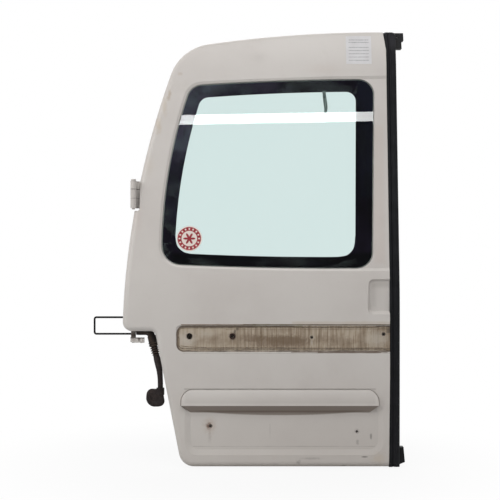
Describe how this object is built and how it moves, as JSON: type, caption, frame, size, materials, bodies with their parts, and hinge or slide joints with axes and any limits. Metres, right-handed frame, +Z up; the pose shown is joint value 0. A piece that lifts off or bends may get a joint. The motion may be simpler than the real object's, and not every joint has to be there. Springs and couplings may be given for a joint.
{
  "type": "campervan rear barn door",
  "caption": "Side-hinged left rear barn door of a small camper van: pressed panel with bonded window, edge seal, hinges and a wire check link.",
  "frame": {"origin": "on the bolted face of the upper hinge's pillar leaf, midway between its two bolt holes", "axes": "+Z up; +X to the right as seen from outside, from the hinges to the free edge; +Y from outside into the vehicle"},
  "size_m": [0.8285, 0.1706, 1.153],
  "materials": {
    "body_paint": "weathered satin",
    "inner_paint": "dusty satin",
    "glass": "pale green tint",
    "black_border": "fired black enamel",
    "adhesive": "cured black bead",
    "seal_rubber": "satin black",
    "black_plastic": "satin black",
    "bare_steel": "dull",
    "black_wire": "black coat",
    "boot_rubber": "dusty brown black"
  },
  "bodies": {
    "pillar_leaves": {"upper_hinge_pillar_leaf": "body_paint", "lower_hinge_pillar_leaf": "body_paint", "lower_hinge_stay_bolt": "body_paint"},
    "door": {"outer_skin": "body_paint", "inner_panel": "inner_paint", "window_glass": "glass", "window_border": "black_border", "window_adhesive": "adhesive", "edge_weatherstrip": "seal_rubber", "upper_guide_block": "black_plastic", "lower_guide_block": "black_plastic", "upper_hinge_door_leaf": "body_paint", "lower_hinge_door_leaf": "body_paint", "upper_hinge_pin": "body_paint", "lower_hinge_pin": "bare_steel", "check_link_bracket": "black_wire", "door_brace": "inner_paint", "panel_plug_1": "black_plastic", "panel_plug_2": "black_plastic", "panel_plug_3": "black_plastic", "panel_plug_4": "black_plastic", "lower_rubber_stop": "seal_rubber", "upper_rubber_stop": "seal_rubber", "harness_elbow": "boot_rubber", "harness_gaiter": "boot_rubber", "harness_pillar_grommet": "boot_rubber"},
    "link": {"check_link": "black_wire"}
  },
  "joints": [
    {"name": "door_swing", "type": "hinge", "parent": "pillar_leaves", "child": "door", "pos_m": [0.008, -0.03, 0], "axis": [0, 0, -1], "range_deg": [0, 180]},
    {"name": "check_link_swing", "type": "hinge", "parent": "door", "child": "link", "pos_m": [0.01, -0.008, -0.3477], "axis": [0, 0, -1], "range_deg": [0, 90]}
  ]
}
